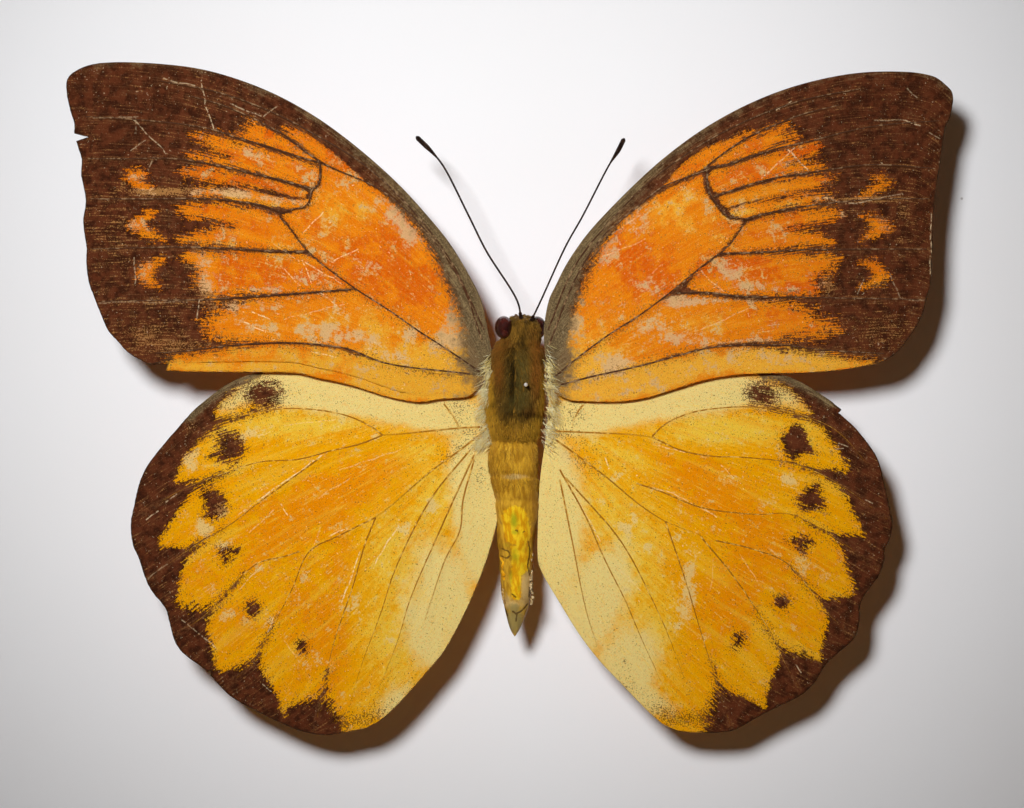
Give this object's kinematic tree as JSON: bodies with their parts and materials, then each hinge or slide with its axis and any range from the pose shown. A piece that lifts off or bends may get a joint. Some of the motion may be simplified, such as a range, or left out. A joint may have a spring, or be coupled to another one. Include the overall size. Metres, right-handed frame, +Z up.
{
  "type": "framed butterfly specimen",
  "caption": "Spread orange and yellow butterfly on a pin over white card, in a glazed wooden box frame that stands on its lower edge or hangs on a wall.",
  "frame": {"origin": "centre of the underside of the bottom rail, midway through the frame's depth", "axes": "+Z up, -Y out of the glass towards the viewer, +X to the viewer's right"},
  "size_m": [0.164, 0.038, 0.14],
  "materials": {
    "frame_wood": "dark stained hardwood, satin waxed",
    "steel": "stamped steel, dull",
    "hanger_plate": "brass-plated strip, dull",
    "glass": "clear picture glass",
    "white_card": "matte white card over foam",
    "hardboard": "brown pressed board, rough back",
    "spacer_white": "matte white paper-covered strip",
    "body_hair": "olive-brown fur over dull skin",
    "abdomen": "ochre scaled skin, worn and creased",
    "eyes": "dark red-brown, glossy",
    "forewings": "orange scales with dark brown borders and veins, matte, scratched",
    "hindwings": "yellow-orange scales with a dark brown scalloped border, matte, scratched",
    "antennae": "dark brown, dull",
    "pin_steel": "bright steel wire"
  },
  "bodies": {
    "root": {"rail_bottom": "frame_wood", "rail_left": "frame_wood", "rail_top": "frame_wood", "rail_right": "frame_wood", "steel_point_1": "steel", "steel_point_2": "steel", "steel_point_3": "steel", "steel_point_4": "steel", "steel_point_5": "steel", "steel_point_6": "steel", "hanger_nail_left": "steel", "hanger_nail_right": "steel", "hanger": "hanger_plate", "glass": "glass", "mounting_card": "white_card", "back_board": "hardboard", "spacer_bottom": "spacer_white", "spacer_top": "spacer_white", "spacer_left": "spacer_white", "spacer_right": "spacer_white", "head": "body_hair", "thorax": "body_hair", "abdomen": "abdomen", "eye_left": "eyes", "eye_right": "eyes", "forewing_left": "forewings", "forewing_right": "forewings", "hindwing_left": "hindwings", "hindwing_right": "hindwings", "antenna_left": "antennae", "antenna_right": "antennae", "pin": "pin_steel"}
  },
  "joints": []
}
